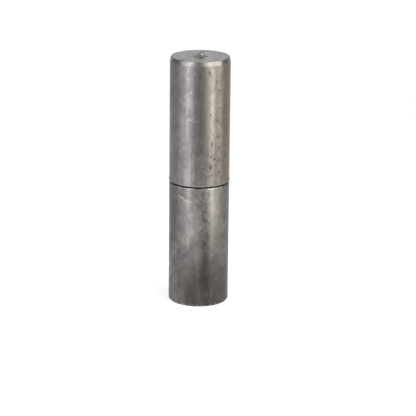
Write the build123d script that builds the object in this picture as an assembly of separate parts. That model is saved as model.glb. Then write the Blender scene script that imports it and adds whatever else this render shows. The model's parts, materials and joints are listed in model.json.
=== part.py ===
"""Weld on barrel hinge: two turned steel barrels, one with a pin and one with a blind bore.

The hinge stands upright on the flat foot of its lower barrel. The origin is the centre of that foot, +Z is the
hinge axis, and all lengths are in millimetres.
"""

import math
import os

from build123d import *

# Round bar that both barrels are turned from
barrel_diameter = 24.0

# Lower barrel: foot, wall and the shoulder that the pin rises from
lower_barrel_length = 49.2
foot_edge_break = 0.6
shoulder_edge_break = 0.4

# Pin, turned from the lower barrel's own bar
pin_diameter = 15.0
pin_length = 21.5
pin_root_radius = 0.8
pin_tip_chamfer_width = 1.0
pin_tip_chamfer_length = 1.5

# Gaps that let the upper barrel turn
seam_gap = 0.4
running_clearance = 0.08
bearing_clearance = 0.05

# Upper barrel: closed end with its lead chamfer
upper_barrel_length = 50.4
lead_chamfer_width = 0.46
lead_chamfer_length = 1.7

# Upper barrel: swelled rim round the bore's mouth
rim_swell = 0.19
rim_swell_height = 1.0
rim_swell_run_out = 1.1
rim_edge_break = 0.2
mouth_chamfer = 0.25
drill_point_angle = 118.0

# Pip that the parting tool left on the closed end
pip_base_diameter = 5.8
pip_stub_diameter = 1.9
pip_flank_height = 1.2
pip_height = 1.8
pip_edge_break = 0.25

barrel_radius = barrel_diameter / 2
pin_radius = pin_diameter / 2


def turned(face):
    """The solid that a half section in the XZ plane sweeps round the hinge axis."""
    return revolve(face, axis=Axis.Z, revolution_arc=360)


def lower_barrel():
    """The barrel with the pin: foot, wall, shoulder, root radius, pin and chamfered tip."""
    shoulder = lower_barrel_length
    tip = shoulder + pin_length
    with BuildSketch(Plane.XZ) as section:
        with BuildLine():
            Polyline(
                (0, 0),
                (barrel_radius - foot_edge_break, 0),
                (barrel_radius, foot_edge_break),
                (barrel_radius, shoulder - shoulder_edge_break),
                (barrel_radius - shoulder_edge_break, shoulder),
                (pin_radius + pin_root_radius, shoulder),
            )
            RadiusArc(
                (pin_radius + pin_root_radius, shoulder),
                (pin_radius, shoulder + pin_root_radius),
                pin_root_radius,
            )
            Polyline(
                (pin_radius, shoulder + pin_root_radius),
                (pin_radius, tip - pin_tip_chamfer_length),
                (pin_radius - pin_tip_chamfer_width, tip),
                (0, tip),
                (0, 0),
            )
        make_face()
    return turned(section.sketch)


def upper_barrel_blank():
    """The outside of the upper barrel as a full bar, from its rim up to the pip."""
    rim = lower_barrel_length + seam_gap
    top = rim + upper_barrel_length
    swelled_radius = barrel_radius + rim_swell
    pip_base_radius = pip_base_diameter / 2
    pip_stub_radius = pip_stub_diameter / 2
    with BuildSketch(Plane.XZ) as section:
        with BuildLine():
            Polyline(
                (0, rim),
                (swelled_radius - rim_edge_break, rim),
                (swelled_radius, rim + rim_edge_break),
                (swelled_radius, rim + rim_swell_height),
                (barrel_radius, rim + rim_swell_height + rim_swell_run_out),
                (barrel_radius, top - lead_chamfer_length),
                (barrel_radius - lead_chamfer_width, top),
                (pip_base_radius, top),
                (pip_stub_radius, top + pip_flank_height),
                (pip_stub_radius, top + pip_height - pip_edge_break),
                (pip_stub_radius - pip_edge_break, top + pip_height),
                (0, top + pip_height),
                (0, rim),
            )
        make_face()
    return turned(section.sketch)


def bore():
    """The drilled hole: mouth chamfer, running bore and drill point, which rides on the edge of the pin's tip."""
    rim = lower_barrel_length + seam_gap
    bore_radius = pin_radius + running_clearance
    point_slope = 1 / math.tan(math.radians(drill_point_angle / 2))
    tip_edge_radius = pin_radius - pin_tip_chamfer_width
    seat = lower_barrel_length + pin_length + bearing_clearance
    bore_end = seat - (bore_radius - tip_edge_radius) * point_slope
    with BuildSketch(Plane.XZ) as section:
        with BuildLine():
            Polyline(
                (0, rim),
                (bore_radius + mouth_chamfer, rim),
                (bore_radius, rim + mouth_chamfer),
                (bore_radius, bore_end),
                (0, bore_end + bore_radius * point_slope),
                (0, rim),
            )
        make_face()
    return turned(section.sketch)


parts = {
    "lower_barrel": lower_barrel(),
    "upper_barrel": upper_barrel_blank() - bore(),
}

os.makedirs("parts", exist_ok=True)
for name, shape in parts.items():
    export_step(shape, f"parts/{name}.step")
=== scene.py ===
"""Looks of the weld on barrel hinge: two worn steel barrels on a pale floor, seen a little from above."""

import json
import math

import bpy
from mathutils import Euler, Matrix, Vector, noise


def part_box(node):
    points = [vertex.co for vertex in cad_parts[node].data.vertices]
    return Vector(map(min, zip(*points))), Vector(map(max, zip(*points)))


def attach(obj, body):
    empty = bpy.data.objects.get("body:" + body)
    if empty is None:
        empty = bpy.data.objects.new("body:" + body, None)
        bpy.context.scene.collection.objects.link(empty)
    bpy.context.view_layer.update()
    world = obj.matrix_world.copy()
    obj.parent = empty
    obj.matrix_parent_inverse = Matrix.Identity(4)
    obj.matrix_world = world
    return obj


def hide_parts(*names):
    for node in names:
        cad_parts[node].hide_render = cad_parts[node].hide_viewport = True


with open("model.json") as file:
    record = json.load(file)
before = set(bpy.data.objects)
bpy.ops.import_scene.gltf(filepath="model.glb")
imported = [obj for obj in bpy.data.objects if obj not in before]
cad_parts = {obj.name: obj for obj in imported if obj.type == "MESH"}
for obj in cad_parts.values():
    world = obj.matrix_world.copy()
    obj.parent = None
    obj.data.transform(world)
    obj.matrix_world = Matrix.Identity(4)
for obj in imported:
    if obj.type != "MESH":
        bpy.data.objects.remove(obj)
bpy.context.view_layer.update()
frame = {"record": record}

MM = 0.001

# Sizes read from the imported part
mounts = {mount["name"]: mount for mount in frame["record"]["mounts"]}
barrel_radius = mounts["lower_weld_wall"]["dims"]["r_mm"] * MM
pin_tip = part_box("lower_barrel")[1].z
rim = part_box("upper_barrel")[0].z
pip_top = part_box("upper_barrel")[1].z

# Sizes of the turned forms, as in the part, apart from a slighter rim swell and a pip with a tapering stub
foot_edge_break = 0.6 * MM
shoulder_edge_break = 0.4 * MM
pin_radius = 7.5 * MM
pin_root_radius = 0.8 * MM
pin_tip_chamfer_width = 1.0 * MM
pin_tip_chamfer_length = 1.5 * MM
seam_gap = 0.4 * MM
lead_chamfer_width = 0.46 * MM
lead_chamfer_length = 1.7 * MM
rim_swell = 0.17 * MM
rim_swell_height = 1.0 * MM
rim_swell_run_out = 1.1 * MM
rim_edge_break = 0.2 * MM
mouth_chamfer = 0.25 * MM
bore_radius = 7.58 * MM
bore_depth = 20.5 * MM
drill_point_depth = 4.55 * MM
pip_base_radius = 2.9 * MM
pip_neck_radius = 1.3 * MM
pip_tip_radius = 0.65 * MM
pip_flank_height = 0.7 * MM
pip_edge_break = 0.2 * MM
pip_height = 1.8 * MM

shoulder = rim - seam_gap
top_face = pip_top - pip_height

# Only what lies outside this radius is worn
skin_radius = barrel_radius - 0.5 * MM

# Tolerance for telling which side of a turned face a point lies on
hair = 0.01 * MM

SEGMENTS = 320


def along(start, end, longest):
    """Points from start to end, the end left out, no further apart than longest."""
    a, b = Vector(start), Vector(end)
    count = max(1, math.ceil((b - a).length / longest))
    return [tuple(a.lerp(b, i / count)) for i in range(count)]


def revolve_mesh(name, profile, worn):
    """A mesh swept round Z by (radius, height) points from axis to axis, each vertex then moved by worn."""
    ring = [(math.cos(math.tau * i / SEGMENTS), math.sin(math.tau * i / SEGMENTS)) for i in range(SEGMENTS)]
    verts = [(0, 0, profile[0][1])]
    for radius, height in profile[1:-1]:
        verts += [(radius * c, radius * s, height) for c, s in ring]
    verts.append((0, 0, profile[-1][1]))
    last = len(verts) - 1
    rings = len(profile) - 2
    faces = []
    for i in range(SEGMENTS):
        j = (i + 1) % SEGMENTS
        faces.append((0, 1 + j, 1 + i))
        for row in range(rings - 1):
            a = 1 + row * SEGMENTS
            b = a + SEGMENTS
            faces.append((a + i, a + j, b + j, b + i))
        a = 1 + (rings - 1) * SEGMENTS
        faces.append((a + i, a + j, last))
    mesh = bpy.data.meshes.new(name)
    mesh.from_pydata([worn(Vector(vert)) for vert in verts], [], faces)
    mesh.shade_smooth()
    piece = bpy.data.objects.new(name, mesh)
    bpy.context.scene.collection.objects.link(piece)
    return piece


def smooth(value, low, high):
    """0 below low and 1 above high, with a soft step between."""
    t = min(1, max(0, (value - low) / (high - low)))
    return t * t * (3 - 2 * t)


def arc(centre, radius, start, end, steps):
    """Points of a circle in the profile's plane, angles in degrees."""
    out = []
    for i in range(steps + 1):
        a = math.radians(start + (end - start) * i / steps)
        out.append((centre[0] + radius * math.cos(a), centre[1] + radius * math.sin(a)))
    return out


def lower_profile():
    """Half section of the lower barrel, from the middle of its foot to the middle of the pin's tip."""
    r = barrel_radius
    wall_top = shoulder - shoulder_edge_break
    fillet_centre = (pin_radius + pin_root_radius, shoulder + pin_root_radius)
    pin_foot = (pin_radius, shoulder + pin_root_radius)
    pin_chamfer = (pin_radius, pin_tip - pin_tip_chamfer_length)
    tip_edge = (pin_radius - pin_tip_chamfer_width, pin_tip)
    points = along((0, 0), (r - foot_edge_break, 0), 0.6 * MM)
    points += along((r - foot_edge_break, 0), (r, foot_edge_break), 0.1 * MM)
    points += along((r, foot_edge_break), (r, wall_top), 0.3 * MM)
    points += arc((r - shoulder_edge_break, wall_top), shoulder_edge_break, 0, 90, 8)
    points += along((r - shoulder_edge_break, shoulder), (fillet_centre[0], shoulder), 0.5 * MM)[1:]
    points += arc(fillet_centre, pin_root_radius, 270, 180, 8)
    points += along(pin_foot, pin_chamfer, 0.5 * MM)[1:]
    points += along(pin_chamfer, tip_edge, 0.3 * MM)
    points += along(tip_edge, (0, pin_tip), 0.8 * MM)
    return points + [(0, pin_tip)]


def upper_profile():
    """Half section of the upper barrel, from the end of the bore out round the rim and up to the pip."""
    r = barrel_radius
    bore_end = (bore_radius, rim + bore_depth)
    drill_point = (0, bore_end[1] + drill_point_depth)
    mouth = (bore_radius, rim + mouth_chamfer)
    mouth_edge = (bore_radius + mouth_chamfer, rim)
    swell_end = (r, rim + rim_swell_height + rim_swell_run_out)
    chamfer_start = (r, top_face - lead_chamfer_length)
    chamfer_end = (r - lead_chamfer_width, top_face)
    pip_base = (pip_base_radius, top_face)
    pip_neck = (pip_neck_radius, top_face + pip_flank_height)
    pip_tip = (pip_tip_radius, pip_top - pip_edge_break)
    points = [drill_point]
    points += along(drill_point, bore_end, 1.0 * MM)[1:]
    points += along(bore_end, mouth, 1.0 * MM)
    points += along(mouth, mouth_edge, 0.1 * MM)
    points += along(mouth_edge, (r - rim_edge_break, rim), 0.4 * MM)
    points += arc((r - rim_edge_break, rim + rim_edge_break), rim_edge_break, 270, 360, 4)
    points += along((r, rim + rim_edge_break), swell_end, 0.15 * MM)[1:]
    points += along(swell_end, chamfer_start, 0.3 * MM)
    points += along(chamfer_start, chamfer_end, 0.2 * MM)
    points += along(chamfer_end, pip_base, 0.3 * MM)
    points += along(pip_base, pip_neck, 0.12 * MM)
    points += along(pip_neck, pip_tip, 0.08 * MM)
    points += along(pip_tip, (0, pip_top), 0.12 * MM)
    return points + [(0, pip_top)]


def lumps(point, size, seed):
    """Soft lumps of the given size, from 0 to 1."""
    return 0.5 + 0.5 * noise.noise(point / size + Vector((seed, seed, seed)))


def skin_depth(point, seed):
    """How far handling and rolling have pushed a point of a barrel's skin inwards."""
    upright = Vector((point.x, point.y, point.z * 0.35))
    waves = 0.040 * MM * (lumps(upright, 5.5 * MM, seed) - 0.5)
    bruises = 0.022 * MM * (lumps(point, 1.9 * MM, seed + 7) - 0.5)
    dents = 0.05 * MM * smooth(lumps(point, 2.6 * MM, seed + 13), 0.68, 0.95)
    return waves + bruises + dents


def edge_chips(point, distance, seed):
    """Depth of the chips along a turned edge, at a distance from it."""
    chips = smooth(lumps(point, 0.9 * MM, seed), 0.5, 0.9)
    return 0.12 * MM * chips * (1 - smooth(distance, 0, 0.7 * MM))


def dent(point, azimuth, height, width, tall, tilt):
    """1 in the middle of an oval dent in the wall, falling to 0 round it. Positive tilt is clockwise."""
    turn = math.atan2(point.x, -point.y) - math.radians(azimuth)
    across = math.atan2(math.sin(turn), math.cos(turn)) * barrel_radius
    up = point.z - height
    lean = math.radians(tilt)
    a = (across * math.cos(lean) - up * math.sin(lean)) / (width / 2)
    b = (up * math.cos(lean) + across * math.sin(lean)) / (tall / 2)
    return math.exp(-2 * (a * a + b * b))


def pushed_in(point, depth):
    """A point of the wall, moved that far toward the hinge axis."""
    radius = math.hypot(point.x, point.y)
    scale = (radius - depth) / radius
    return Vector((point.x * scale, point.y * scale, point.z))


def worn_lower(point):
    """Wear of the lower barrel's wall. The foot, the shoulder and the pin stay as turned."""
    if math.hypot(point.x, point.y) < skin_radius or point.z > shoulder + hair:
        return point
    depth = skin_depth(point, 3)
    depth += edge_chips(point, shoulder - point.z, 21)
    depth += edge_chips(point, point.z, 33)
    depth += 0.07 * MM * dent(point, azimuth=-28, height=43.4 * MM, width=5.6 * MM, tall=2.2 * MM, tilt=15)
    depth += 0.06 * MM * dent(point, azimuth=-18, height=30.6 * MM, width=1.6 * MM, tall=2.6 * MM, tilt=0)
    return pushed_in(point, depth)


def rim_bulge(point):
    """How far the rim stands out at its left and right, where it has been squeezed oval."""
    flare = 1 - smooth(point.z, rim + 0.6 * rim_swell_height, rim + rim_swell_height + rim_swell_run_out)
    side = smooth(abs(point.x) / barrel_radius, 0.75, 0.97)
    return rim_swell * flare * side


def rim_lift(point):
    """How far wear has raised the lower edge of the rim, most at its left and right."""
    edge = 1 - smooth(point.z, rim, rim + rim_swell_height)
    side = smooth(abs(point.x) / barrel_radius, 0.55, 0.97)
    return (0.06 + 0.20 * side) * MM * edge


def worn_upper(point):
    """Wear of the upper barrel's wall, rim and chamfer, and of its pip. The bore stays as drilled."""
    radius = math.hypot(point.x, point.y)
    if point.z > top_face - hair and radius < barrel_radius - lead_chamfer_width - hair:
        return torn_pip(point)
    if radius < skin_radius:
        return point
    depth = skin_depth(point, 5)
    depth += edge_chips(point, point.z - rim, 45)
    depth += edge_chips(point, top_face - point.z, 57)
    depth -= rim_bulge(point)
    depth += 0.09 * MM * dent(point, azimuth=21.8, height=57.4 * MM, width=0.7 * MM, tall=1.5 * MM, tilt=12)
    worn = pushed_in(point, depth)
    worn.z += rim_lift(point)
    return worn


def torn_pip(point):
    """The pip left by parting off: a rough mound with a stub that leans right and is torn at its front."""
    rise = point.z - top_face
    lean = 0.35 * MM * smooth(rise, 0.4 * MM, 1.3 * MM)
    torn_off = 0.45 * MM * smooth(-point.y, -0.1 * MM, 0.6 * MM) * smooth(rise, 1.3 * MM, 1.7 * MM)
    ragged = 0.25 * MM * lumps(point, 0.5 * MM, 61) * smooth(rise, 1.1 * MM, 1.6 * MM)
    rough = 0.30 * MM * (lumps(point, 0.9 * MM, 67) - 0.5) * smooth(rise, 0.03 * MM, 0.3 * MM)
    return Vector((point.x + lean + rough, point.y + rough, point.z - torn_off - ragged))


lower = revolve_mesh("lower_barrel_worn", lower_profile(), worn_lower)
upper = revolve_mesh("upper_barrel_worn", upper_profile(), worn_upper)

for piece, body, node, slot in (
    (lower, "lower", "lower_barrel", "lower_steel"),
    (upper, "upper", "upper_barrel", "upper_steel"),
):
    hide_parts(node)
    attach(piece, body)


class Graph:
    """Adds nodes to a material. An input given as a socket is linked, any other value is set."""

    def __init__(self, name):
        self.material = bpy.data.materials.new(name)
        self.material.use_nodes = True
        self.tree = self.material.node_tree
        self.tree.nodes.clear()

    def add(self, kind, inputs=None, **settings):
        node = self.tree.nodes.new("ShaderNode" + kind)
        for name, value in settings.items():
            setattr(node, name, value)
        for name, value in (inputs or {}).items():
            if isinstance(value, bpy.types.NodeSocket):
                self.tree.links.new(value, node.inputs[name])
            else:
                node.inputs[name].default_value = value
        return node.outputs

    def math(self, operation, a, b=0.0, clamp=False):
        return self.add("Math", {0: a, 1: b}, operation=operation, use_clamp=clamp)[0]

    def both(self, a, b):
        """One mask inside another, or a mask at a given strength."""
        return self.math("MULTIPLY", a, b)

    def step(self, value, low, high):
        """0 below low and 1 above high, with a soft step between. High may be the lower one."""
        inputs = {"Value": value, "From Min": low, "From Max": high}
        return self.add("MapRange", inputs, interpolation_type="SMOOTHSTEP")["Result"]

    def mix(self, factor, a, b):
        """Colour a where factor is 0 and colour b where it is 1."""
        return self.add("Mix", {0: factor, 6: a, 7: b}, data_type="RGBA")[2]

    def blend(self, factor, a, b):
        """Value a where factor is 0 and value b where it is 1."""
        return self.add("Mix", {0: factor, 2: a, 3: b})[0]

    def most(self, masks):
        """The strongest of several masks."""
        result = masks[0]
        for mask in masks[1:]:
            result = self.math("MAXIMUM", result, mask)
        return result


class Steel(Graph):
    """A worn steel whose patterns are placed in millimetres on the barrel."""

    def __init__(self, name):
        super().__init__(name)
        place = self.add("TexCoord")["Object"]
        self.point = self.add("VectorMath", {0: place, "Scale": 1 / MM}, operation="SCALE")[0]
        self.x, self.y, self.height = self.add("SeparateXYZ", {0: self.point})
        # Distance from the hinge axis
        flat = self.add("CombineXYZ", {0: self.x, 1: self.y})[0]
        self.radius = self.add("VectorMath", {0: flat}, operation="LENGTH")["Value"]
        # Marks are placed at this unevenly shifted point, which makes their edges ragged
        jitter = self.add("TexNoise", {"Vector": self.point, "Scale": 0.9, "Detail": 3})["Color"]
        centred = self.add("VectorMath", {0: jitter, 1: (0.5, 0.5, 0.5)}, operation="SUBTRACT")[0]
        shift = self.add("VectorMath", {0: centred, "Scale": 0.7}, operation="SCALE")[0]
        self.ragged_point = self.add("VectorMath", {0: self.point, 1: shift}, operation="ADD")[0]

    def noise(self, size, stretch=1.0, detail=2.0, seed=0.0, tilt=0.0):
        """Noise with features of the given size, stretched up the barrel, from about 0.2 to 0.8."""
        inputs = {
            "Vector": self.point,
            "Location": (seed, seed, seed),
            "Rotation": (0, math.radians(tilt), 0),
            "Scale": (1 / size, 1 / size, 1 / size / stretch),
        }
        place = self.add("Mapping", inputs)[0]
        return self.add("TexNoise", {"Vector": place, "Scale": 1.0, "Detail": detail})[0]

    def toward(self, azimuth, half_angle):
        """1 on the side that faces the azimuth, falling to 0 half_angle degrees away from it."""
        a = math.radians(azimuth)
        reach = self.math("ADD", self.both(self.x, math.sin(a)), self.both(self.y, -math.cos(a)))
        facing = self.math("DIVIDE", reach, barrel_radius / MM)
        return self.step(facing, math.cos(math.radians(half_angle)), 1)

    def mark(self, azimuth, height, width, tall, tilt=0, soft=0.6, strength=1):
        """A ragged oval mark on the wall. Azimuth 0 is the front, and positive tilt turns it clockwise."""
        a = math.radians(azimuth)
        radius = barrel_radius / MM
        inputs = {
            "Vector": self.ragged_point,
            "Location": (radius * math.sin(a), -radius * math.cos(a), height),
            "Rotation": (0, math.radians(tilt), a),
            "Scale": (width / 2, mark_depth, tall / 2),
        }
        local = self.add("Mapping", inputs, vector_type="TEXTURE")[0]
        distance = self.add("VectorMath", {0: local}, operation="LENGTH")["Value"]
        mask = self.step(distance, 1 + soft, 1 - soft)
        return mask if strength == 1 else self.both(mask, strength)

    def patch(self, azimuth, height, width, tall, tilt=0, strength=1):
        """A broad mark that fades out over its whole size."""
        return self.mark(azimuth, height, width, tall, tilt, soft=0.95, strength=strength)


# How far a mark reaches inwards from the wall, in millimetres
mark_depth = 4

# Shades of the steel and of what lies on it
dark_steel = (0.099, 0.093, 0.094, 1)
light_steel = (0.239, 0.226, 0.228, 1)
cut_steel = (0.30, 0.29, 0.285, 1)
# Scraped steel, also used for painted highlights and glints
scraped_steel_and_highlight = (0.42, 0.40, 0.39, 1)
brown_stain = (0.176, 0.147, 0.125, 1)
red_stain = (0.170, 0.142, 0.142, 1)
rust_film = (0.222, 0.193, 0.172, 1)
olive_stain = (0.178, 0.176, 0.147, 1)
# Dark oil, also used as painted shade at the lower barrel's foot and down the upper barrel's front middle
oil_and_painted_shade_black = (0.040, 0.036, 0.034, 1)
pit_black = (0.022, 0.021, 0.018, 1)

# Shades of the cut end, on its chamfer, face and pip
chamfer_bright = (0.30, 0.293, 0.288, 1)
chamfer_dull = (0.21, 0.205, 0.20, 1)
# The same cut steel made darker on the right and at the ends, lighter at the front: painted shade and
# painted light
chamfer_right_painted_shade = (0.235, 0.235, 0.235, 1)
chamfer_front_painted_light = (0.30, 0.295, 0.29, 1)
chamfer_ends_painted_shade = (0.185, 0.180, 0.178, 1)
sawn_dark = (0.122, 0.120, 0.114, 1)
sawn_light = (0.240, 0.236, 0.230, 1)
flank_dark = (0.26, 0.255, 0.24, 1)
flank_light = (0.46, 0.45, 0.43, 1)
torn_dark = (0.20, 0.195, 0.19, 1)
torn_light = (0.36, 0.355, 0.34, 1)

pit_roughness = 0.6
face_roughness = 0.42

# Heights of the fine relief, in millimetres
pit_depth = 0.03
lathe_line_height = 0.002
face_ring_height = 0.02


def skin_tones(steel, seed, streaking, clouding):
    """How light the drawn skin is from place to place, around 0.5: streaks, clouds, mottles and grain."""
    streaks = steel.noise(0.7, stretch=30, detail=3, seed=seed)
    clouds = steel.noise(6.0, stretch=1.3, detail=2, seed=seed + 3)
    mottles = steel.noise(2.0, stretch=1.2, detail=4, seed=seed + 8)
    grain = steel.noise(0.5, stretch=1.3, detail=2, seed=seed + 5)
    tone = steel.both(steel.math("SUBTRACT", streaks, 0.5), streaking)
    for pattern, strength in ((clouds, clouding), (mottles, clouding), (grain, 0.5)):
        tone = steel.math("ADD", tone, steel.both(steel.math("SUBTRACT", pattern, 0.5), strength))
    return steel.math("ADD", tone, 0.5, clamp=True)


def finish_steel(steel, colour, roughness, relief):
    """Connects the shader. Relief is in millimetres."""
    bump = steel.add("Bump", {"Strength": 1.0, "Distance": MM, "Height": relief})[0]
    inputs = {
        "Base Color": colour,
        "Metallic": 1.0,
        "Roughness": roughness,
        "Specular Tint": (0.74, 0.74, 0.74, 1),
        "Normal": bump,
    }
    shader = steel.add("BsdfPrincipled", inputs)[0]
    steel.add("OutputMaterial", {"Surface": shader})
    return steel.material


def turned_lines(steel, position, seed):
    """Fine lines left by the lathe, which change with the position."""
    place = steel.add("CombineXYZ", {0: steel.math("MULTIPLY", position, 9.0), 1: seed})[0]
    return steel.add("TexNoise", {"Vector": place, "Scale": 1.0, "Detail": 2.0})[0]


def lower_rubbed_and_painted_highlights(steel, colour):
    """The skin is rubbed paler, in clouds left of the middle and in small spots, partly as painted
    highlights.
    """
    clouds = steel.step(steel.noise(2.6, stretch=1.3, detail=4, seed=41), 0.44, 0.60)
    rubbed = [
        # Partly painted highlights: the clouds left of the middle widen the left highlight, the patch at 28
        # degrees brightens the right one
        steel.patch(-14, 34, width=9, tall=24, strength=0.14),
        steel.both(steel.both(steel.patch(-16, 36, width=11, tall=28), clouds), 0.34),
        steel.patch(28, 40, width=3.6, tall=22, strength=0.42),
        # Partly painted glints on the dent
        steel.mark(-35, 44.9, width=2.6, tall=1.1, tilt=22, soft=0.7, strength=0.85),
        steel.mark(-23, 43.8, width=3.6, tall=1.3, tilt=8, soft=0.7, strength=0.80),
        steel.patch(-21, 41.5, width=3.0, tall=5, strength=0.36),
        steel.patch(-14, 30.8, width=4, tall=3.2, strength=0.40),
        steel.patch(-20, 27, width=1.5, tall=7, strength=0.40),
        steel.mark(13, 17, width=0.5, tall=1.3, strength=0.35),
        steel.mark(29, 17, width=0.9, tall=1.1, strength=0.25),
    ]
    return steel.mix(steel.most(rubbed), colour, scraped_steel_and_highlight)


def lower_stains(steel, colour):
    """Brown stains on the right, reddish ones low down and an olive cast right of the middle."""
    blots = steel.step(steel.noise(3.2, stretch=1.2, detail=4, seed=31), 0.46, 0.66)
    brown = steel.both(steel.both(blots, steel.toward(64, 42)), 0.8)
    colour = steel.mix(brown, colour, brown_stain)
    reddish = [
        steel.patch(36, 19, width=11, tall=22, strength=0.40),
        steel.patch(-18, 5, width=10, tall=22, strength=0.40),
    ]
    colour = steel.mix(steel.most(reddish), colour, red_stain)
    olive = [
        steel.patch(16, 38, width=2.6, tall=30, strength=0.7),
        steel.patch(33, 38, width=5.0, tall=26, strength=0.3),
    ]
    return steel.mix(steel.most(olive), colour, olive_stain)


def lower_oil_and_painted_shade(steel, colour):
    """Dull and dark patches, the darkest in a column right of the middle, and oil with painted shade round
    the front of the foot.
    """
    dull = [
        steel.patch(-57, 40, width=13, tall=26, strength=0.45),
        steel.patch(7, 43, width=2.0, tall=11, strength=0.24),
        steel.patch(11, 36, width=2.6, tall=14, strength=0.30),
        steel.patch(12, 24, width=3.4, tall=18, strength=0.62),
        steel.patch(15, 8, width=5.5, tall=28, strength=0.68),
        steel.patch(46, 28, width=9, tall=12, strength=0.26),
        steel.patch(58, 38, width=7, tall=26, strength=0.16),
        steel.patch(13, 12, width=4.2, tall=32, strength=0.92),
        steel.patch(30, 20, width=8, tall=16, strength=0.20),
        steel.patch(-30, 20, width=12, tall=14, strength=0.23),
        steel.patch(-36, 7, width=8, tall=20, strength=0.20),
        steel.patch(34, 5, width=9, tall=22, strength=0.42),
        steel.patch(-62, 5, width=11, tall=18, strength=0.24),
        steel.patch(70, 4, width=12, tall=26, strength=0.36),
        steel.patch(-50, 18, width=10, tall=14, strength=0.16),
        steel.patch(-3, 14, width=5, tall=8, strength=0.35),
        steel.patch(-14, 3, width=5.5, tall=14, strength=0.72),
    ]
    colour = steel.mix(steel.most(dull), colour, oil_and_painted_shade_black)

    # Darker towards the foot on the front: partly oil, partly painted shade of dark things reflected low in
    # the wall
    oil_and_painted_shade = steel.both(steel.step(steel.height, 27, 9), steel.toward(20, 80))
    colour = steel.mix(steel.both(oil_and_painted_shade, 0.57), colour, oil_and_painted_shade_black)
    worn_through = steel.step(steel.noise(1.4, stretch=2.4, detail=3, seed=171), 0.50, 0.70)
    return steel.mix(steel.both(steel.both(oil_and_painted_shade, worn_through), 0.14), colour, light_steel)


def lower_pits(steel):
    """Small pits in the dark column, fewer of them to its right, and some single ones."""
    flecks = steel.step(steel.noise(1.0, stretch=1.4, detail=2, seed=51), 0.54, 0.66)
    specks = steel.step(steel.noise(0.55, stretch=1.2, detail=1, seed=57), 0.56, 0.68)
    flecks = steel.math("MAXIMUM", flecks, steel.both(specks, 0.8))
    column = steel.both(steel.toward(12, 14), steel.step(steel.height, 20, 26))
    belt = steel.both(steel.step(steel.height, 12, 18), steel.step(steel.height, 32, 24))
    rusty = steel.both(steel.toward(48, 34), belt)
    spots = [
        steel.math("MULTIPLY", steel.both(flecks, column), 1.4, clamp=True),
        steel.both(steel.both(flecks, rusty), 0.5),
        steel.mark(6.5, 31.8, width=0.9, tall=1.2),
        steel.mark(-43, 22.2, width=1.0, tall=0.9, soft=0.8, strength=0.6),
        steel.mark(-30, 34.0, width=1.2, tall=1.8, soft=0.9, strength=0.4),
        steel.mark(36, 20.5, width=1.2, tall=1.1, soft=0.8, strength=0.7),
    ]
    return steel.both(steel.most(spots), 0.5)


def lower_bare_and_painted_glint(steel, colour):
    """Bright rubbed edges of the shoulder and the foot, the shoulder's partly a painted glint, and the
    clean turned shoulder and pin.
    """
    chipped = steel.step(steel.noise(1.2, detail=3, seed=161), 0.44, 0.60)
    # Brighter along the shoulder's edge: partly rubbed steel, partly a painted glint under the seam
    shoulder_edge_wear_and_glint = steel.both(steel.step(steel.height, shoulder / MM - 0.7, shoulder / MM - 0.3), 0.55)
    foot_edge = steel.both(steel.step(steel.height, 1.3, 0.5), 0.42)
    edges = steel.both(steel.math("ADD", shoulder_edge_wear_and_glint, foot_edge), chipped)
    colour = steel.mix(edges, colour, scraped_steel_and_highlight)

    inner = steel.step(steel.radius, barrel_radius / MM - 0.3, barrel_radius / MM - 0.7)
    turned = steel.both(inner, steel.step(steel.height, 10, 11))
    return steel.mix(turned, colour, cut_steel)


def lower_steel():
    """The darker barrel: cloudy, stained and dulled by oil, with painted shade at its foot, painted
    highlights and a column of pits.
    """
    steel = Steel("lower_steel_worn")
    tone = skin_tones(steel, 11, streaking=0.3, clouding=1.3)
    colour = steel.mix(tone, dark_steel, light_steel)
    colour = lower_rubbed_and_painted_highlights(steel, colour)
    colour = lower_stains(steel, colour)
    colour = lower_oil_and_painted_shade(steel, colour)
    pits = lower_pits(steel)
    colour = steel.mix(pits, colour, pit_black)
    colour = lower_bare_and_painted_glint(steel, colour)

    roughness = steel.blend(tone, 0.31, 0.26)
    roughness = steel.blend(pits, roughness, pit_roughness)
    relief = steel.math("MULTIPLY", steel.noise(0.6, stretch=2, detail=3, seed=61), 0.012)
    relief = steel.math("SUBTRACT", relief, steel.both(pits, pit_depth))
    lines = steel.math("MULTIPLY", turned_lines(steel, steel.height, 3), lathe_line_height)
    relief = steel.math("ADD", relief, lines)
    return finish_steel(steel, colour, roughness, relief)


def upper_stains(steel, colour):
    """A film of rust with brown stains and dull mottles on the right, and an olive cast beside them."""
    colour = steel.mix(steel.both(steel.toward(67, 34), 0.75), colour, rust_film)
    blots = steel.step(steel.noise(3.5, stretch=2.5, detail=4, seed=81), 0.40, 0.62)
    brown = [
        steel.both(steel.both(blots, steel.toward(70, 54)), 0.55),
        steel.patch(55, 83, width=2.2, tall=36, strength=0.50),
        steel.patch(36, 75.6, width=3.0, tall=5.0, tilt=-20, strength=0.40),
        steel.patch(41, 56, width=2.6, tall=3.0, strength=0.20),
    ]
    colour = steel.mix(steel.most(brown), colour, brown_stain)
    olive = [
        steel.patch(13, 84, width=2.6, tall=44, strength=0.85),
        steel.patch(36, 84, width=4.0, tall=34, strength=0.4),
        steel.patch(33, 66, width=5.0, tall=18, strength=0.4),
    ]
    colour = steel.mix(steel.most(olive), colour, olive_stain)

    mottled = steel.step(steel.noise(1.6, stretch=1.4, detail=4, seed=91), 0.50, 0.62)
    mottled = steel.both(steel.both(mottled, steel.toward(60, 46)), 0.24)
    return steel.mix(mottled, colour, oil_and_painted_shade_black)


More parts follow.
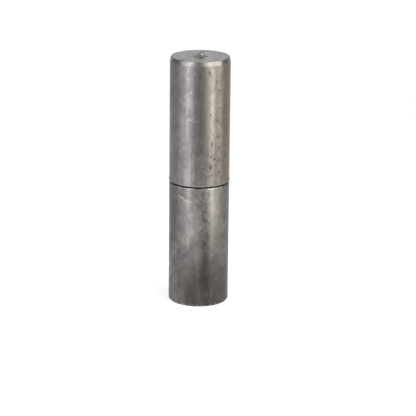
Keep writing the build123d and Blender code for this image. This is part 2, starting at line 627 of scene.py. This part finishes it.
def upper_scratches(steel, colour):
    """Faint slanted hairlines from handling, small scrapes and longer scratches."""
    hairlines = steel.noise(0.45, stretch=12, detail=2, seed=141, tilt=62)
    hairlines = steel.both(steel.step(hairlines, 0.60, 0.74), steel.toward(5, 62))
    scratches = [
        steel.both(hairlines, 0.42),
        steel.mark(-17, 87.8, width=0.9, tall=0.8, soft=0.9),
        steel.mark(-23, 93.2, width=1.6, tall=1.4, soft=0.9, strength=0.6),
        steel.mark(-30, 65.4, width=1.3, tall=0.9, soft=0.9),
        steel.mark(-17, 76.9, width=2.8, tall=0.5, tilt=-4, soft=0.8),
        steel.mark(-6, 76.2, width=3.4, tall=0.3, tilt=-6),
        steel.mark(18, 55.2, width=2.6, tall=0.4, tilt=-4),
        steel.mark(4, 58.5, width=2.6, tall=0.3, tilt=32),
        steel.mark(10, 56.0, width=2.2, tall=0.3, tilt=30),
    ]
    scraped = steel.both(steel.most(scratches), 0.36)
    return steel.mix(scraped, colour, scraped_steel_and_highlight)


def upper_oil_and_painted_light(steel, colour):
    """Oil has dulled the skin in columns, with painted shade down the front middle, and the edge of the rim
    is rubbed bright, partly as a painted reflection.
    """
    oil_and_painted_shade = [
        # Down the front middle: partly oil, partly painted shade where the barrel reflects dark
        steel.patch(1, 78, width=3.8, tall=48, strength=0.26),
        steel.patch(-43, 76, width=3.4, tall=46, strength=0.14),
        steel.patch(-20, 71, width=6.0, tall=14, strength=0.20),
        steel.patch(37, 80, width=4.0, tall=44, strength=0.18),
        steel.patch(32, 60, width=8.0, tall=26, strength=0.18),
    ]
    colour = steel.mix(steel.most(oil_and_painted_shade), colour, oil_and_painted_shade_black)
    # Brighter along the rim's edge: partly rubbed steel, partly a painted reflection above the seam
    rim_edge_wear_and_glint = steel.both(steel.step(steel.height, rim / MM + 0.8, rim / MM + 0.3), 0.25)
    return steel.mix(rim_edge_wear_and_glint, colour, scraped_steel_and_highlight)


def upper_pits(steel):
    """Rust pits in a band right of the middle, fine ones and single larger ones."""
    flecks = steel.step(steel.noise(1.0, stretch=1.4, detail=3, seed=101), 0.60, 0.74)
    band = steel.both(steel.toward(32, 30), steel.step(steel.height, 99, 90))
    spots = [
        steel.both(steel.both(flecks, band), 0.6),
        steel.mark(17, 95.6, width=0.8, tall=2.0, tilt=-28, soft=0.8),
        steel.mark(34, 92.1, width=0.9, tall=0.9, soft=0.8),
        steel.mark(42.5, 88.2, width=1.4, tall=0.8, soft=0.8, strength=0.6),
        steel.mark(20.5, 78.9, width=0.7, tall=0.8, soft=0.8),
        steel.mark(36, 76.2, width=1.6, tall=1.8, soft=0.9, strength=0.6),
        steel.mark(37.8, 69.8, width=1.1, tall=1.2),
        steel.mark(41.5, 65.3, width=1.2, tall=0.9, soft=0.9),
        steel.mark(24, 66.9, width=0.8, tall=1.7, soft=0.9),
        steel.mark(15, 62.6, width=0.8, tall=1.2, soft=0.9, strength=0.6),
        steel.mark(23, 62.0, width=0.7, tall=1.1, tilt=15, soft=0.8),
        steel.mark(29, 60.8, width=0.8, tall=1.0, tilt=15, soft=0.8),
        steel.mark(40, 60.2, width=1.8, tall=1.0, soft=0.9, strength=0.5),
        steel.mark(21.4, 57.6, width=0.9, tall=2.0, tilt=12),
        steel.mark(60, 61.2, width=1.6, tall=0.8, soft=0.9, strength=0.5),
        steel.mark(41, 55.4, width=1.4, tall=1.3, soft=0.9, strength=0.6),
    ]
    return steel.both(steel.most(spots), 0.55)


def cut_end(steel, colour, top, face):
    """The cut chamfer with painted light and shade by side, the duller sawn face and its torn pip. Top is
    the height of the face.
    """
    chamfer = steel.step(steel.height, top - 1.82, top - 1.58)
    dull = steel.step(steel.noise(1.5, detail=4, seed=113), 0.46, 0.70)
    fresh = steel.mix(dull, chamfer_bright, chamfer_dull)
    fresh = steel.mix(steel.toward(35, 30), fresh, chamfer_right_painted_shade)
    fresh = steel.mix(steel.toward(0, 14), fresh, chamfer_front_painted_light)
    ends = steel.most([steel.toward(-56, 22), steel.toward(57, 18)])
    fresh = steel.mix(steel.step(ends, 0, 0.5), fresh, chamfer_ends_painted_shade)
    colour = steel.mix(chamfer, colour, fresh)
    clouds = steel.both(steel.noise(5.0, detail=2, seed=124), 0.5)
    mottles = steel.both(steel.noise(1.0, detail=4, seed=121), 0.5)
    face_tone = steel.step(steel.math("ADD", clouds, mottles), 0.38, 0.62)
    sawn = steel.mix(face_tone, sawn_dark, sawn_light)
    colour = steel.mix(face, colour, sawn)
    flank = steel.step(steel.height, top + 0.02, top + 0.3)
    flank_tone = steel.step(steel.noise(0.8, detail=3, seed=151), 0.40, 0.60)
    colour = steel.mix(flank, colour, steel.mix(flank_tone, flank_dark, flank_light))
    torn = steel.step(steel.height, top + 0.55, top + 0.75)
    groove = steel.step(steel.noise(0.45, detail=1, seed=155), 0.40, 0.52)
    return steel.mix(torn, colour, steel.mix(groove, torn_dark, torn_light))


def upper_steel():
    """The brighter barrel: streaked, with rust on its right, a cut end and a clean bore."""
    steel = Steel("upper_steel_worn")
    tone = skin_tones(steel, 71, streaking=0.85, clouding=0.85)
    colour = steel.mix(tone, dark_steel, light_steel)
    colour = upper_stains(steel, colour)
    colour = upper_scratches(steel, colour)
    colour = upper_oil_and_painted_light(steel, colour)
    pits = upper_pits(steel)
    colour = steel.mix(pits, colour, pit_black)
    top = top_face / MM
    face = steel.step(steel.height, top - 0.06, top - 0.02)
    colour = cut_end(steel, colour, top, face)

    # The bore is clean turned steel
    bore = steel.step(steel.radius, bore_radius / MM + 0.4, bore_radius / MM + 0.2)
    bore = steel.both(bore, steel.step(steel.height, top - 5, top - 6))
    colour = steel.mix(bore, colour, cut_steel)

    roughness = steel.blend(tone, 0.29, 0.25)
    roughness = steel.blend(pits, roughness, pit_roughness)
    roughness = steel.blend(face, roughness, face_roughness)
    relief = steel.math("MULTIPLY", steel.noise(0.6, stretch=3, detail=3, seed=131), 0.010)
    relief = steel.math("SUBTRACT", relief, steel.both(pits, pit_depth))
    lines = steel.math("MULTIPLY", turned_lines(steel, steel.height, 5), lathe_line_height)
    rings = turned_lines(steel, steel.math("MULTIPLY", steel.radius, 0.35), 7)
    rings = steel.math("MULTIPLY", rings, face_ring_height)
    relief = steel.math("ADD", relief, steel.blend(face, lines, rings))
    return finish_steel(steel, colour, roughness, relief)


lower.data.materials.append(lower_steel())
upper.data.materials.append(upper_steel())


floor_glow = 0.46
floor_half = 6


def floor_paper():
    """White paper that keeps the shadow. Its glow is seen by camera and mirrors, and lights nothing."""
    paper = Graph("floor_paper")
    path = paper.add("LightPath")
    seen = paper.math("ADD", path["Is Camera Ray"], path["Is Glossy Ray"], clamp=True)
    seen = paper.math("ADD", seen, path["Is Transmission Ray"], clamp=True)
    glow = paper.add("Emission", {"Strength": paper.math("MULTIPLY", seen, floor_glow)})[0]
    diffuse = paper.add("BsdfDiffuse", {"Color": (0.8, 0.8, 0.8, 1)})[0]
    paper.add("OutputMaterial", {"Surface": paper.add("AddShader", {0: diffuse, 1: glow})[0]})
    return paper.material


corners = [(-1, -1), (1, -1), (1, 1), (-1, 1)]
floor_mesh = bpy.data.meshes.new("floor")
floor_mesh.from_pydata([(floor_half * x, floor_half * y, 0) for x, y in corners], [], [(0, 1, 2, 3)])
floor_mesh.materials.append(floor_paper())
floor = bpy.data.objects.new("floor", floor_mesh)
bpy.context.scene.collection.objects.link(floor)


def panel(name, azimuth, distance, spread, bottom, top, radiance, colour=(1, 1, 1)):
    """An upright lamp facing the hinge, as wide as the spread angle. Azimuth 0 is the camera's side."""
    data = bpy.data.lights.new(name, "AREA")
    data.shape = "RECTANGLE"
    data.size = 2 * distance * math.tan(math.radians(spread / 2))
    data.size_y = top - bottom
    data.energy = radiance * math.pi * data.size * data.size_y
    data.color = colour
    lamp = bpy.data.objects.new(name, data)
    a = math.radians(azimuth)
    outward = Vector((math.sin(a), -math.cos(a), 0))
    lamp.location = outward * distance + Vector((0, 0, (bottom + top) / 2))
    lamp.rotation_euler = outward.to_track_quat("Z", "Y").to_euler()
    bpy.context.scene.collection.objects.link(lamp)


# Soft boxes at both sides close to the hinge, brightest down their middles, and a white wall behind.
# The right ones are warmer, and differ below and above lamp_middle.
warm = (1.0, 0.95, 0.83)
lamp_foot = 0.002
lamp_middle = 0.07
lamp_top = 0.35
panel("left_box", -48, 0.18, 60, lamp_foot, lamp_top, 0.62)
panel("left_middle", -44, 0.175, 40, lamp_foot, lamp_top, 0.58)
panel("left_core", -42, 0.17, 18, lamp_foot, lamp_top, 1.1)
panel("right_box", 50, 0.18, 54, lamp_foot, lamp_middle, 0.8, warm)
panel("right_box_high", 50, 0.18, 66, lamp_middle, lamp_top, 1.9, warm)
panel("right_core", 48, 0.17, 18, lamp_foot, lamp_middle, 2.5, warm)
panel("right_core_high", 42, 0.17, 24, lamp_middle, lamp_top, 0.9, warm)
panel("left_edge", -80, 0.17, 18, lamp_foot, lamp_middle, 0.3)
panel("right_edge", 80, 0.17, 20, lamp_foot, lamp_middle, 1.3, warm)
panel("right_edge_high", 76, 0.17, 24, lamp_middle, lamp_top, 1.1, warm)
panel("back", 180, 0.8, 24, 0.01, 0.5, 1.9)

world_strength = 0.5
world = bpy.data.worlds.new("studio")
bpy.context.scene.world = world
world.use_nodes = True
background = world.node_tree.nodes["Background"].inputs
background["Color"].default_value = (1, 1, 1, 1)
background["Strength"].default_value = world_strength

# The camera stands in front and above, and looks down by the pitch, in degrees
camera_pitch = 16.305
camera_roll = 0.626
camera_data = bpy.data.cameras.new("camera")
camera_data.sensor_width = 36
camera_data.lens = 183.8
camera = bpy.data.objects.new("camera", camera_data)
camera.location = (3.63 * MM, -817.2 * MM, 276.85 * MM)
pitched = Euler((math.radians(90 - camera_pitch), 0, 0)).to_matrix()
rolled = Matrix.Rotation(math.radians(camera_roll), 3, "Z")
camera.rotation_euler = (pitched @ rolled).to_euler()
bpy.context.scene.collection.objects.link(camera)
bpy.context.scene.camera = camera
bpy.context.scene.view_settings.view_transform = "Standard"
